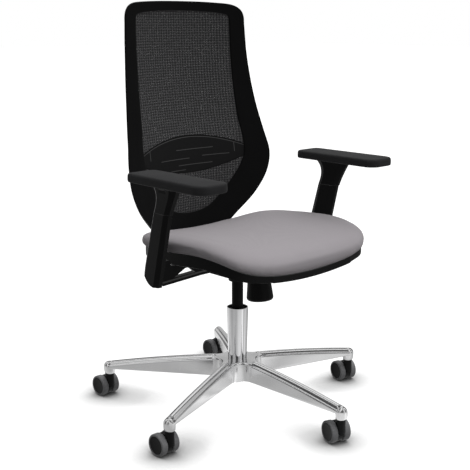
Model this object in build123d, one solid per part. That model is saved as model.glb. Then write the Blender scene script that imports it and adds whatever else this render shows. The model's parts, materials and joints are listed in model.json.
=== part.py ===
"""Swivel task chair: five-star base on twin-wheel casters, gas column, synchronised tilt mechanism,
upholstered seat with height-adjustable arms and a mesh back with a sliding lumbar panel.
Millimetres. +Z is up, the floor is z = 0, the column axis is x = y = 0 and the sitter faces -Y."""

from build123d import *
import math
import os

# ---- fits and small sizes that several pieces share ----
running = 0.05  # radial clearance of a shaft that turns or slides in its bore
clear = 0.3  # gap between pieces that move past each other
seat_gap = 0.3  # gap that foam keeps from what it sits on

# ---- five-star base ----
base_radius = 330.0  # column axis to caster stem axis
base_arms = 5
base_turn = 1.7  # how far the base is turned from the seat's front
base_underside = 76.0
arm_root_half = 15.5
arm_tip_half = 13.5
arm_start = 29.0
arm_dome = 4.0  # rise of the arm's top between its side walls
rail_height = 9.0  # rounded rail on top of each arm, above its side walls
rail_half = 9.5
rail_crown = 5.0
rail_start = 62.0
base_wall = 4.5
web_top = 124.0  # flat web round the column
web_fillet = 30.0
web_reach = 64.0  # how far the web runs out inside each arm
socket_low = 62.0
ridge_root = 132.0  # height of the arm's ridge line at the column
ridge_mid = 117.0  # half way out
ridge_tip = 93.0  # over the caster stem

# ---- casters ----
wheel_radius = 26.0
wheel_width = 16.5
wheel_gap = 16.0  # between the two wheels
tread_depth = 5.5
tread_round = 3.0
hub_recess = 1.0
hub_cap = 3.0  # closed outer face of a hub
axle_radius = 4.0
stem_radius = 5.5
stem_in_socket = 28.0
trail = 20.0
caster_headings = (18.0, 15.0, 4.0, 0.0, 0.0)  # each caster as it came to rest, degrees from straight
hood_radius = 24.0
hood_thick = 13.0
hood_neck = 10.5
hood_rim = 1.0

# ---- gas column ----
tube_top = 253.9
tube_top_radius = 26.8
tube_low = 64.0
tube_low_radius = 21.1
tube_wall = 2.2
tube_floor = 4.0
bush_length = 60.0
bush_recess = 7.0
cylinder_radius = 14.0
cylinder_wall = 2.0
cylinder_low = 150.0
cylinder_cap = 6.0
taper_length = 26.0
taper_small = 13.1
rod_radius = 5.0
spigot_radius = 4.0
bearing_radius = 10.0
bearing_thick = 4.0
clip_radius = 8.0
clip_thick = 2.0
piston_thick = 10.0
piston_height = 255.0
pin_radius = 4.0
pin_proud = 2.5
pin_lever_gap = 0.5

# ---- tilt mechanism ----
housing_half = 52.0
housing_wall = 3.5
housing_floor = 340.0
boss_low = 322.0  # the boss that takes the column's taper reaches this far down
boss_wall = 8.0
housing_front = -112.0
housing_rear = 62.0
housing_front_top = 368.0
housing_rear_top = 362.0
knob_tilt = 5.0  # the knob's axis leans, its lower end forward
knob_y = -74.0  # where that axis meets the housing floor
knob_top_radius = 27.0
knob_low_radius = 33.0
knob_height = 54.0
knob_round = 7.0
knob_ribs = 24
knob_rib_radius = 1.2
screw_radius = 6.0
screw_in_housing = 28.0
spring_radius = 13.0
spring_wire = 1.8
spring_turns = 4
front_pivot_y = -100.0
front_pivot_z = 357.0
rear_pivot_y = 44.0
rear_pivot_z = 352.0
pivot_radius = 5.0
ear_thick = 4.0
ear_radius = 11.0

# ---- levers ----
lever_radius = 4.0
height_lever_y = 18.0
height_lever_pivot_x = -25.0
lever_end_x = 205.0
paddle_length = 48.0
paddle_width = 26.0
paddle_thick = 6.0
lock_lever_y = -42.0
lock_lever_z = 350.0
lock_cam_radius = 6.0

# ---- seat ----
plate_low = 376.0
plate_thick = 3.0
plate_half = 112.0
plate_front = -150.0
plate_rear = 70.0
plate_window = 30.0
shell_band = 14.0  # skirt height in the middle of the front edge
shell_side_band = 27.0  # skirt height at the sides
shell_wall = 3.5
shell_inset = 1.5  # the cushion bulges this far past the shell
boss_radius = 11.0
boss_x = 88.0
boss_front = -125.0
boss_rear = 45.0
seat_screw_radius = 3.0
seat_screw_head = 6.0
rim_reference = 232.0  # half width at which the rim's and the skirt's edge heights hold

# ---- arms ----
arm_x = 270.6
arm_lean = 0.2535  # forward travel per unit of height
arm_line_y = -17.5  # where the leaning centre line is, at arm_line_z
arm_line_z = 398.0
arm_toe = 5.0
sleeve_low = 364.0
sleeve_top = 533.0
sleeve_half_thick = 11.5
sleeve_half_depth_low = 32.0
sleeve_half_depth_top = 28.5
sleeve_wall = 3.2
foot_radius = 42.0  # round of the heel under the sleeve
post_low = 425.0
head_half_thick = 15.0
head_rear = -11.0
head_front = -114.0
pad_top = 617.0
pad_thick = 20.0
pad_front = -226.0
pad_rear = 30.0
pad_front_half = 44.5
pad_rear_half = 41.0
pad_front_corner = 28.0
pad_rear_corner = 19.0
pad_edge = 3.0
button_length = 22.0
button_height = 7.0
button_travel = 2.0
button_depth = 6.0
button_z = 584.0
bracket_thick = 6.0
bracket_front = -38.0
bracket_rear = -8.0
bracket_inner = 78.0
bracket_drop = 5.0
gusset_thick = 9.0
gusset_height = 42.0  # where it meets the sleeve, above the seat plate's underside
arm_bolt_radius = 3.0
arm_bolt_head = 5.5

# ---- back ----
back_curve = 0.00096  # forward curl of the back per square millimetre of half width
frame_thick = 16.0  # on the middle line
frame_edge_thick = 3.0  # at the widest part of the back
frame_half = 230.4  # half width of the back at its widest
mesh_thick = 1.2
mesh_set_back = 3.0
back_low = 372.0
back_top = 985.5
head_bar = 22.5  # height of the frame's top bar in the middle
window_low = 465.0
window_half = 164.0  # half width of the window at the lumbar panel
carrier_half = 38.0
carrier_thick = 12.0
carrier_top = 452.0
back_bolt_radius = 4.0
back_bolt_head = 7.0
lumbar_low = 567.0
lumbar_high = 659.0
lumbar_line_y = 171.3  # depth of the front of the back's middle line behind which the panel sits
lumbar_lean = 0.125  # how the back leans there
lumbar_half = window_half - 11.5
lumbar_end = 36.0  # height of the panel's ends
lumbar_set_back = 8.8
lumbar_thick = 3.0
ear_width = 7.0
rail_x = window_half + 5.0
rail_stand_off = 7.0
rail_half_width = 4.0
rail_thick = 4.0
rail_reach = 24.0  # the rails pass the panel's ends by this much
slot_height = 2.4
# middle of each slot in the panel, from its centre, and its length
lumbar_slots = (
    (16, 12, 118), (-50, -10, 97), (81, -7, 82), (16, -26, 109), (-40, -38, 50),
)


def block(x0, x1, y0, y1, z0, z1):
    """A box from its low and high corners."""
    centre = Pos((x0 + x1) / 2, (y0 + y1) / 2, (z0 + z1) / 2)
    return centre * Box(abs(x1 - x0), abs(y1 - y0), abs(z1 - z0))


def upright(radius, low, high, x=0.0, y=0.0):
    """A vertical cylinder."""
    return Pos(x, y, (low + high) / 2) * Cylinder(radius, high - low)


def along_x(radius, x0, x1, y, z):
    """A cylinder along X."""
    return Pos((x0 + x1) / 2, y, z) * Rot(0, 90, 0) * Cylinder(radius, abs(x1 - x0))


def cone(low_radius, high_radius, low, high):
    """A vertical truncated cone on the column axis."""
    return Pos(0, 0, (low + high) / 2) * Cone(low_radius, high_radius, high - low)


def section(plane, points, arcs):
    """A face in a plane whose sides are straight, or arcs through a middle point given for that side."""
    edges = []
    for index, start in enumerate(points):
        end = points[(index + 1) % len(points)]
        if index in arcs:
            edges.append(ThreePointArc(start, arcs[index], end))
        else:
            edges.append(Line(start, end))
    return plane * make_face(edges)


def xz_plane(y):
    """The plane at depth y, in which the drawing's axes are X and Z."""
    return Plane(origin=(0, y, 0), x_dir=(1, 0, 0), z_dir=(0, -1, 0))


def mirrored(shape):
    """The same piece on the other side of the chair."""
    return mirror(shape, about=Plane.YZ)


def common(first, second):
    """What two shapes share."""
    return Part() + first.intersect(second)


# ---- five-star base ----
def ridge_at(radius):
    """Height of an arm's ridge line: a parabola through its root, middle and tip."""
    t = radius / base_radius
    bow = 4 * ridge_mid - 2 * ridge_root - 2 * ridge_tip
    return ridge_root + (ridge_tip - ridge_root) * t + bow * t * (1 - t)


def arm_half_at(radius):
    return arm_root_half + (arm_tip_half - arm_root_half) * radius / base_radius


def arm_section(radius, inset):
    """Section across an arm at a distance from the column; inset makes the cavity below it."""
    half = arm_half_at(radius) - inset
    shoulder = ridge_at(radius) - rail_height - inset
    low = base_underside if inset == 0 else base_underside - base_wall
    plane = Plane(origin=(radius, 0, 0), x_dir=(0, 1, 0), z_dir=(1, 0, 0))
    points = [(-half, low), (half, low), (half, shoulder), (-half, shoulder)]
    return section(plane, points, {2: (0, shoulder + arm_dome)})


def rail_section(radius):
    """Section of the rounded rail on an arm, with its foot inside the arm."""
    ridge = ridge_at(radius)
    plane = Plane(origin=(radius, 0, 0), x_dir=(0, 1, 0), z_dir=(1, 0, 0))
    foot = ridge - rail_height - 1
    side = ridge - rail_crown
    points = [(-rail_half, foot), (rail_half, foot), (rail_half, side), (-rail_half, side)]
    return section(plane, points, {2: (0, ridge)})


def round_end(radius, half, low, side, crown, turn):
    """Half of a turned solid that ends an arm or its rail with the same section as they have there."""
    bend = (half * half + crown * crown) / (2 * crown)
    angle = math.asin(half / bend) / 2
    top = side + crown
    profile = make_face(
        [
            Line((0, low), (half, low)),
            Line((half, low), (half, side)),
            ThreePointArc(
                (half, side), (bend * math.sin(angle), top - bend + bend * math.cos(angle)), (0, top)
            ),
            Line((0, top), (0, low)),
        ]
    )
    return Pos(radius, 0, 0) * Rot(0, 0, turn) * revolve(Plane.XZ * profile, Axis.Z, 180)


def column_radius_at(z):
    """Outside radius of the conical column tube."""
    t = (z - tube_low) / (tube_top - tube_low)
    return tube_low_radius + (tube_top_radius - tube_low_radius) * t


def caster_angle(index):
    return -90 + base_turn + index * 360 / base_arms


def make_base_arm():
    arm = loft([arm_section(r, 0) for r in (arm_start, 110, 220, base_radius)])
    shoulder = ridge_tip - rail_height
    arm += round_end(base_radius, arm_tip_half, base_underside, shoulder, arm_dome, -90)
    arm += loft([rail_section(r) for r in (rail_start, 150, 240, base_radius)])
    ridge = ridge_at(rail_start)
    foot = ridge - rail_height - 1
    arm += round_end(rail_start, rail_half, foot, ridge - rail_crown, rail_crown, 90)
    foot = ridge_tip - rail_height - 1
    arm += round_end(base_radius, rail_half, foot, ridge_tip - rail_crown, rail_crown, -90)
    arm -= loft([arm_section(r, base_wall) for r in (60, 160, base_radius - 26)])
    arm += upright(arm_tip_half - 0.8, socket_low, shoulder - 4, base_radius)
    return arm - upright(stem_radius + running, socket_low, socket_low + stem_in_socket, base_radius)


def make_base():
    web = Sketch()
    half = arm_half_at(arm_start) - 0.8
    for index in range(base_arms):
        web += Rot(0, 0, index * 360 / base_arms) * Pos(web_reach / 2, 0) * Rectangle(web_reach, 2 * half)
    corners = [v for v in web.vertices() if v.center().length < 2 * half]
    web = fillet(corners, web_fillet)
    body = Pos(0, 0, base_underside) * extrude(web, web_top - base_underside)
    body -= cone(column_radius_at(tube_low), column_radius_at(tube_top), tube_low, tube_top)
    arm = make_base_arm()
    for index in range(base_arms):
        body += Rot(0, 0, index * 360 / base_arms) * arm
    return Rot(0, 0, caster_angle(0)) * body


# ---- casters ----
def place_caster(shape, index):
    """Put a caster piece, drawn with its stem on the Z axis and its trail along +Y, under an arm."""
    angle = math.radians(caster_angle(index))
    spot = Pos(base_radius * math.cos(angle), base_radius * math.sin(angle), 0)
    return spot * Rot(0, 0, -caster_headings[index]) * shape


def make_caster_stem():
    grip = upright(stem_radius + running + 1.5, socket_low - clear - 2, socket_low - clear)
    return upright(stem_radius, wheel_radius * 2 - 6, socket_low + stem_in_socket - clear) + grip


def make_caster_hood():
    disc = Pos(0, trail, wheel_radius) * Rot(0, 90, 0) * Cylinder(hood_radius, hood_thick)
    neck_top = socket_low - clear - 2
    neck = upright(hood_neck, wheel_radius, neck_top)
    roof = block(-hood_thick / 2, hood_thick / 2, 0, trail, wheel_radius, wheel_radius + hood_radius)
    clip_box = block(-hood_neck, hood_neck, -hood_neck, 3 * trail, hood_rim, neck_top)
    wheels = Pos(0, trail, wheel_radius) * Rot(0, 90, 0) * Cylinder(wheel_radius + 1, 2 * wheel_width + wheel_gap)
    middle = block(-hood_thick / 2, hood_thick / 2, -trail, 3 * trail, 0, neck_top)
    neck = neck - wheels + common(neck, middle)
    hood = common(disc + neck + roof, clip_box)
    axle_bore = Pos(0, trail, wheel_radius) * Rot(0, 90, 0) * Cylinder(axle_radius, wheel_gap)
    stem_bore = upright(stem_radius, wheel_radius * 2 - 6, neck_top)
    return hood - axle_bore - stem_bore


def make_axle():
    length = wheel_gap + 2 * (wheel_width - hub_recess - hub_cap - clear)
    return Pos(0, trail, wheel_radius) * Rot(0, 90, 0) * Cylinder(axle_radius, length)


def wheel_pair(half_profile):
    """Two wheels from one profile drawn as (distance from the axle, distance from the middle plane)."""
    wheel = revolve(Plane.XZ * half_profile, Axis.X)
    wheel = Pos(0, trail, wheel_radius) * wheel
    return [wheel, mirrored(wheel)]


def make_treads():
    inside = wheel_gap / 2
    outside = inside + wheel_width
    profile = Pos((inside + outside) / 2, wheel_radius - tread_depth / 2) * Rectangle(wheel_width, tread_depth)
    rounded = [v for v in profile.vertices() if v.Y > wheel_radius - tread_depth / 2]
    return wheel_pair(fillet(rounded, tread_round))


def make_hubs():
    inside = wheel_gap / 2 + hub_recess
    outside = wheel_gap / 2 + wheel_width - hub_recess
    radius = wheel_radius - tread_depth
    profile = Pos((inside + outside) / 2, radius / 2) * Rectangle(outside - inside, radius)
    bore_end = outside - hub_cap
    bore = axle_radius + running
    profile -= Pos((inside + bore_end) / 2, bore / 2) * Rectangle(bore_end - inside, bore)
    return wheel_pair(profile)


# ---- gas column ----
def make_column_tube():
    inner_top = tube_top_radius - tube_wall
    inner_low = tube_low_radius - tube_wall
    tube = cone(tube_low_radius, tube_top_radius, tube_low, tube_top)
    tube -= cone(inner_low, inner_top, tube_low + tube_floor, tube_top)
    return tube - upright(spigot_radius + clear, tube_low, tube_low + tube_floor)


def make_guide_bush():
    top = tube_top - bush_recess
    low = top - bush_length
    span = tube_top - tube_low - tube_floor
    slope = (tube_top_radius - tube_low_radius) / span
    at_top = tube_top_radius - tube_wall - slope * bush_recess
    at_low = at_top - slope * bush_length
    return cone(at_low, at_top, low, top) - upright(cylinder_radius + running, low, top)


def make_gas_cylinder():
    taper_low = boss_low
    taper_top = boss_low + taper_length
    body = upright(cylinder_radius, cylinder_low, taper_low)
    body += cone(cylinder_radius, taper_small, taper_low, taper_top)
    body -= upright(cylinder_radius - cylinder_wall, cylinder_low + cylinder_cap, taper_top - cylinder_cap)
    body -= upright(rod_radius + running, cylinder_low, cylinder_low + cylinder_cap)
    return body - upright(pin_radius + running, taper_top - cylinder_cap, taper_top)


def make_rod():
    shoulder = tube_low + tube_floor + bearing_thick
    top = piston_height + piston_thick
    rod = upright(rod_radius, shoulder, top)
    rod += upright(cylinder_radius - cylinder_wall - running, piston_height, top)
    return rod + upright(spigot_radius, tube_low - 2 * clip_thick - clear, shoulder)


def make_bearing():
    low = tube_low + tube_floor
    return upright(bearing_radius, low, low + bearing_thick) - upright(
        spigot_radius + running, low, low + bearing_thick
    )


def make_clip():
    top = tube_low - clear
    return upright(clip_radius, top - clip_thick, top) - upright(spigot_radius, top - clip_thick, top)


def make_release_pin():
    taper_top = boss_low + taper_length
    return upright(pin_radius, taper_top - cylinder_cap, taper_top + pin_proud)


# ---- tilt mechanism ----
def knob_frame():
    """The knob's own frame: origin where its axis meets the sloping floor, +Z up along the axis."""
    return Location((0, knob_y, housing_floor + floor_rise(knob_y)), (-knob_tilt, 0, 0))


def floor_rise(y):
    """The front of the housing floor slopes up so that it stays square to the knob's axis."""
    start = knob_y + knob_low_radius
    return max(0.0, (start - y) * math.tan(math.radians(knob_tilt)))


def housing_top_at(y):
    level_until = front_pivot_y + 30
    t = (y - level_until) / (housing_rear - level_until)
    return housing_front_top + (housing_rear_top - housing_front_top) * max(0.0, t)


def housing_outline(inset):
    low = housing_floor + inset
    bend = knob_y + knob_low_radius
    front = housing_front + inset
    rear = housing_rear - inset
    over = 0 if inset == 0 else 10  # the cavity runs out through the open top
    return Polyline(
        (front, low + floor_rise(front)),
        (bend, low),
        (rear, low),
        (rear, housing_rear_top + over),
        (front_pivot_y + 30, housing_front_top + over),
        (front, housing_front_top + over),
        close=True,
    )


def prism_x(outline, half):
    """Extrude an outline drawn in Y and Z to both sides of the middle plane."""
    face = Plane.YZ * make_face(outline)
    return extrude(face, half, both=True)


def make_housing():
    body = prism_x(housing_outline(0), housing_half)
    body -= prism_x(housing_outline(housing_wall), housing_half - housing_wall)
    boss_top = boss_low + taper_length - 2
    body += upright(cylinder_radius + boss_wall, boss_low, boss_top)
    body -= cone(cylinder_radius, taper_small, boss_low, boss_low + taper_length)
    reach = housing_half + 1
    body -= along_x(pivot_radius, -reach, reach, front_pivot_y, front_pivot_z)
    body -= along_x(pivot_radius, -reach, reach, rear_pivot_y, rear_pivot_z)
    body -= along_x(lever_radius + running, 0, reach, lock_lever_y, lock_lever_z)
    body -= height_lever_slot()
    screw_hole = knob_frame() * Cylinder(screw_radius + running, 6 * housing_wall)
    return body - screw_hole


def height_lever_z():
    """Axis height of the height lever: its finger lies just over the release pin."""
    return boss_low + taper_length + pin_proud + pin_lever_gap + lever_radius


def height_lever_slot():
    low = height_lever_z() - lever_radius - 1
    side = lever_radius + 1
    outer = -housing_half - 1
    inner = -housing_half + housing_wall + 1
    return block(outer, inner, height_lever_y - side, height_lever_y + side, low, housing_front_top)


def make_height_lever():
    z = height_lever_z()
    crank = along_x(lever_radius, -lever_end_x, height_lever_pivot_x + lever_radius, height_lever_y, z)
    cross_length = height_lever_y + lever_radius
    cross = Pos(height_lever_pivot_x, height_lever_y - cross_length / 2 + lever_radius, z)
    cross = cross * Rot(90, 0, 0) * Cylinder(lever_radius, cross_length)
    finger = along_x(lever_radius, height_lever_pivot_x, lever_radius / 2, 0, z)
    paddle_inner = -lever_end_x + paddle_length
    half = paddle_width / 2
    paddle = block(
        -lever_end_x - 4, paddle_inner, height_lever_y - half, height_lever_y + half,
        z - paddle_thick / 2, z + paddle_thick / 2,
    )
    paddle = fillet(paddle.edges().filter_by(Axis.Z), half / 2)
    return crank + cross + finger + paddle


def make_lock_lever():
    rod = along_x(lever_radius, housing_half - 2 * housing_wall, lever_end_x, lock_lever_y, lock_lever_z)
    half = paddle_width / 2
    paddle = block(
        lever_end_x - paddle_length, lever_end_x + 4, lock_lever_y - half, lock_lever_y + half,
        lock_lever_z - paddle_thick / 2, lock_lever_z + paddle_thick / 2,
    )
    paddle = fillet(paddle.edges().filter_by(Axis.Z), half / 2)
    cam = along_x(
        lock_cam_radius, housing_half - 3 * housing_wall, housing_half - housing_wall - clear,
        lock_lever_y, lock_lever_z,
    )
    return rod + paddle + cam


def make_knob():
    middle = -clear - knob_height / 2
    knob = Pos(0, 0, middle) * Cone(knob_low_radius, knob_top_radius, knob_height)
    knob = fillet(knob.edges().sort_by(Axis.Z)[0], knob_round)
    slant = math.degrees(math.atan2(knob_low_radius - knob_top_radius, knob_height))
    for index in range(knob_ribs):
        turn = Rot(0, 0, index * 360 / knob_ribs)
        mean = (knob_low_radius + knob_top_radius) / 2 + knob_rib_radius / 2
        knob -= turn * Pos(mean, 0, middle + 4) * Rot(0, -slant, 0) * Cylinder(knob_rib_radius, knob_height)
    knob -= Pos(0, 0, middle) * Cylinder(screw_radius, knob_height)
    return knob_frame() * knob


def make_tension_screw():
    low = -clear - knob_height + 4
    return knob_frame() * Pos(0, 0, (low + screw_in_housing) / 2) * Cylinder(
        screw_radius, screw_in_housing - low
    )


def make_tilt_spring():
    """Spring in the housing round the tension screw."""
    low = housing_wall + spring_wire + clear
    pitch = (screw_in_housing - low - spring_wire) / spring_turns
    path = Helix(pitch, pitch * spring_turns, spring_radius)
    ring_plane = Plane(origin=path @ 0, z_dir=path % 0)
    coil = sweep(ring_plane * Circle(spring_wire), path)
    return knob_frame() * Pos(0, 0, low) * coil


def make_pivot_shaft(y, z):
    reach = housing_half + clear + ear_thick + 2
    return along_x(pivot_radius, -reach, reach, y, z)


# ---- seat ----
# depth, half width, rim height in the middle and at the edge, top height in the middle and at the edge
seat_stations = (
    (-247.0, 128.0, 395.0, 421.0, 409.0, 417.0),
    (-237.0, 172.0, 395.0, 424.0, 428.0, 436.0),
    (-212.0, 208.0, 395.0, 431.0, 441.0, 451.0),
    (-170.0, 223.0, 396.0, 440.0, 448.0, 461.0),
    (-100.0, 232.0, 397.0, 441.0, 450.0, 466.0),
    (-20.0, 233.0, 399.0, 434.0, 450.0, 466.0),
    (60.0, 222.0, 402.0, 430.0, 447.0, 464.0),
    (112.0, 194.0, 407.0, 428.0, 444.0, 457.0),
    (138.0, 150.0, 410.0, 426.0, 434.0, 441.0),
    (148.0, 112.0, 411.0, 425.0, 427.0, 429.0),
)
cushion_bulge = 7.0


def rim_at_edge(station):
    """Rim height at the station's own half width; the rim is a parabola across the seat."""
    y, half, middle, edge, top_middle, top_edge = station
    return middle + (edge - middle) * (half / rim_reference) ** 2


def cushion_section(station):
    y, half, middle, edge, top_middle, top_edge = station
    rim = rim_at_edge(station) + 2 * seat_gap
    shoulder = half - 0.35 * (top_edge - rim)
    waist = (rim + top_edge) / 2
    points = [(-half, rim), (half, rim), (shoulder, top_edge), (-shoulder, top_edge)]
    arcs = {
        0: (0, middle + 2 * seat_gap),
        1: (half + cushion_bulge, waist),
        2: (0, top_middle),
        3: (-half - cushion_bulge, waist),
    }
    return section(xz_plane(y), points, arcs)


def skirt_at(half):
    """Height of the shell's skirt where the seat is that wide; it deepens quickly towards the sides."""
    return shell_band + (shell_side_band - shell_band) * (half / rim_reference) ** 6


def shell_section(station, wall):
    """Section of the seat shell's outside, or with a wall the space inside it, open below."""
    y, half, middle, edge, top_middle, top_edge = station
    side = half - shell_inset - wall
    rim = rim_at_edge(station) - wall
    drop = skirt_at(half) if wall == 0 else shell_band + 60
    points = [(-side, rim - drop), (side, rim - drop), (side, rim), (-side, rim)]
    arcs = {0: (0, middle - wall - drop), 2: (0, middle - wall)}
    return section(xz_plane(y), points, arcs)


def make_cushion():
    return loft([cushion_section(s) for s in seat_stations])


def seat_boss_spots():
    return [(x, y) for x in (-boss_x, boss_x) for y in (boss_front, boss_rear)]


def make_shell():
    outside = loft([shell_section(s, 0) for s in seat_stations])
    inside = loft([shell_section(s, shell_wall) for s in seat_stations[1:-1]])
    shell = outside - inside - Pos(0, 0, -seat_gap) * make_cushion()
    top = plate_low + plate_thick
    for x, y in seat_boss_spots():
        boss = upright(boss_radius, top, seat_stations[-1][3] + 10, x, y)
        shell += common(boss, outside + block(-250, 250, -250, 160, 300, 392))
        shell -= upright(seat_screw_radius, top, top + 10, x, y)
    return shell


def make_seat_plate():
    top = plate_low + plate_thick
    plate = block(-plate_half, plate_half, plate_front, plate_rear, plate_low, top)
    plate = fillet(plate.edges().filter_by(Axis.Z), 15)
    plate -= block(-plate_window, plate_window, -plate_window, plate_window, plate_low, top)
    inner = housing_half + clear
    for side in (-1, 1):
        ear = block(
            side * inner, side * (inner + ear_thick), front_pivot_y - ear_radius, front_pivot_y + ear_radius,
            front_pivot_z, plate_low,
        )
        ear += along_x(ear_radius, side * inner, side * (inner + ear_thick), front_pivot_y, front_pivot_z)
        ear -= along_x(pivot_radius + running, side * inner, side * (inner + ear_thick), front_pivot_y, front_pivot_z)
        plate += ear
    for x, y in seat_boss_spots():
        plate -= upright(seat_screw_radius, plate_low, top, x, y)
    for x, y in arm_bolt_spots():
        plate -= upright(arm_bolt_radius, plate_low, top, x, y)
    return plate


def make_seat_screws():
    top = plate_low + plate_thick
    screws = []
    for x, y in seat_boss_spots():
        shank = upright(seat_screw_radius, plate_low, top + 9.5, x, y)
        screws.append(shank + upright(seat_screw_head, plate_low - 4, plate_low, x, y))
    return screws


# ---- arms ----
def arm_line(z):
    """Depth of the leaning centre line of an arm at a height."""
    return arm_line_y - arm_lean * (z - arm_line_z)


def lens(z, centre_y, half_thick, half_depth):
    """Horizontal section of an arm: a long lens with bevelled ends, toed out at its front."""
    side = 0.62 * half_depth
    nose = 0.42 * half_thick
    points = [
        (half_thick, -side), (half_thick, side), (nose, half_depth), (-nose, half_depth),
        (-half_thick, side), (-half_thick, -side), (-nose, -half_depth), (nose, -half_depth),
    ]
    outline = make_face(Polyline(*points, close=True))
    return Pos(arm_x, centre_y, z) * Rot(0, 0, arm_toe) * outline


def arm_bolt_spots():
    middle = (bracket_front + bracket_rear) / 2
    return [(side * (bracket_inner + step), middle) for side in (-1, 1) for step in (9, 25)]


def make_arm_upright():
    """Left upright: a leaning hollow sleeve whose foot runs in under the seat as a bracket with a gusset."""
    low = lens(sleeve_low, arm_line(sleeve_low), sleeve_half_thick, sleeve_half_depth_low)
    top = lens(sleeve_top, arm_line(sleeve_top), sleeve_half_thick, sleeve_half_depth_top)
    sleeve = loft([low, top])
    heel_z = sleeve_low + foot_radius
    heel_y = arm_line(heel_z) + sleeve_half_depth_low - foot_radius
    heel = Pos(arm_x, heel_y, heel_z) * Rot(0, 90, 0) * Cylinder(foot_radius, 4 * sleeve_half_thick)
    toe = block(arm_x - 50, arm_x + 50, -200, heel_y, sleeve_low, heel_z)
    upper = block(arm_x - 50, arm_x + 50, -200, 100, heel_z, sleeve_top)
    sleeve = common(sleeve, heel + toe + upper)
    inner_low = lens(
        post_low - 4, arm_line(post_low - 4),
        sleeve_half_thick - sleeve_wall + clear, sleeve_half_depth_top - sleeve_wall + clear,
    )
    inner_top = lens(
        sleeve_top, arm_line(sleeve_top),
        sleeve_half_thick - sleeve_wall + clear, sleeve_half_depth_top - sleeve_wall + clear,
    )
    sleeve -= loft([inner_low, inner_top])
    outer = arm_x - sleeve_half_thick + 3
    high = plate_low
    low_inner = high - bracket_thick
    low_outer = low_inner - bracket_drop
    shell_side = rim_reference - 1
    bar = Polyline(
        (bracket_inner, low_inner), (150, low_inner), (outer, low_outer),
        (outer, low_outer + bracket_thick), (150, high), (bracket_inner, high),
        close=True,
    )
    depth = bracket_rear - bracket_front
    bar = extrude(xz_plane(bracket_rear) * make_face(bar), depth)
    web = Polyline(
        (outer, low_outer + 2), (150, low_inner + 2), (132, high),
        (150, high + 9), (190, high + 24), (shell_side, high + gusset_height - 13),
        (shell_side + 5, high + gusset_height), (outer, high + gusset_height),
        close=True,
    )
    hole = Polyline((222, high - 0.5), (189, high + 15.5), (178, high + 15.5), (159, high + 0.5), close=True)
    gusset_rear = (bracket_front + bracket_rear) / 2 + gusset_thick / 2
    web = extrude(xz_plane(gusset_rear) * make_face(web), gusset_thick)
    web -= extrude(xz_plane(gusset_rear) * make_face(hole), gusset_thick)
    arm = sleeve + bar + web
    for x, y in arm_bolt_spots():
        arm -= upright(arm_bolt_radius, low_inner - 1, high, x, y)
    return arm


def make_arm_bolts():
    top = plate_low + plate_thick
    bolts = []
    for x, y in arm_bolt_spots():
        shank = upright(arm_bolt_radius, plate_low - bracket_thick, top, x, y)
        bolts.append(shank + upright(arm_bolt_head, top, top + 4, x, y))
    return bolts


def make_arm_post():
    """Left post: a tongue that slides in the sleeve, under a head that flares out to carry the pad."""
    thick = sleeve_half_thick - sleeve_wall
    depth = sleeve_half_depth_top - sleeve_wall
    tongue = loft(
        [lens(z, arm_line(z), thick, depth) for z in (post_low, sleeve_top + clear)]
    )
    low = sleeve_top + clear
    under = pad_top - pad_thick
    neck = low + 0.42 * (under - low)
    flare = low + 0.75 * (under - low)
    middle = (head_rear + head_front) / 2
    reach = (head_rear - head_front) / 2
    head = loft(
        [
            lens(low, arm_line(low) - 1, sleeve_half_thick, sleeve_half_depth_top + 1),
            lens(neck, arm_line(neck) - 4, sleeve_half_thick, sleeve_half_depth_top + 3),
            lens(flare, (arm_line(flare) + middle) / 2 - 3, sleeve_half_thick + 1, 0.76 * reach),
            lens(under, middle, head_half_thick, reach),
        ]
    )
    return tongue + head - button_shape(clear)


def button_shape(gap):
    """The height button on the outer face of the head, or with a gap the pocket that it slides in."""
    y = arm_line(button_z) - 2
    outer = arm_x + head_half_thick - 0.5 + (2 if gap else 0)
    inner = arm_x + head_half_thick - button_depth - (button_travel + gap if gap else 0)
    half = button_length / 2 + gap
    tall = button_height / 2 + gap
    return block(inner, outer, y - half, y + half, button_z - tall, button_z + tall)


def make_arm_pad():
    """Left pad: flat on top, wider at the front, round at the corners."""
    outline = make_face(
        Polyline(
            (arm_x - pad_front_half, pad_front), (arm_x + pad_front_half, pad_front),
            (arm_x + pad_rear_half, pad_rear), (arm_x - pad_rear_half, pad_rear),
            close=True,
        )
    )
    ends = outline.vertices().sort_by(Axis.Y)
    outline = fillet(ends[:2], pad_front_corner)
    outline = fillet(outline.vertices().sort_by(Axis.Y)[-2:], pad_rear_corner)
    pad = Pos(0, 0, pad_top - pad_thick) * extrude(outline, pad_thick)
    return fillet(pad.edges().group_by(Axis.Z)[-1], pad_edge)


# ---- back ----
# height and depth of the front of the back on its middle line
back_line = (
    (340.0, 173.0), (430.0, 172.0), (500.0, 168.6), (560.0, 168.4), (600.0, 169.6), (640.0, 175.0),
    (700.0, 186.2), (780.0, 197.8), (860.0, 204.9), (940.0, 207.3), (1010.0, 207.5),
)


def rear_curve():
    """Curl of the frame's rear face, which nears the front face towards the sides."""
    return back_curve + (frame_thick - frame_edge_thick) / frame_half ** 2


def back_slab(set_back, thick, rear_bend=back_curve):
    """A sheet that follows the curved back: its front lies set_back behind the back's front surface."""
    half = frame_half + 5
    curl = back_curve * half * half
    rear_curl = rear_bend * half * half
    faces = []
    for z, y in back_line:
        front = y + set_back
        rear = front + thick
        plane = Plane(origin=(0, 0, z), x_dir=(1, 0, 0), z_dir=(0, 0, 1))
        points = [
            (-half, front - curl), (half, front - curl),
            (half, rear - rear_curl), (-half, rear - rear_curl),
        ]
        faces.append(section(plane, points, {0: (0, front), 2: (0, rear)}))
    return loft(faces)


def outline_prism(edges):
    """A closed outline drawn in X and Z, extruded through the whole depth of the back."""
    face = xz_plane(400) * make_face(edges)
    return extrude(face, 500)


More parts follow.
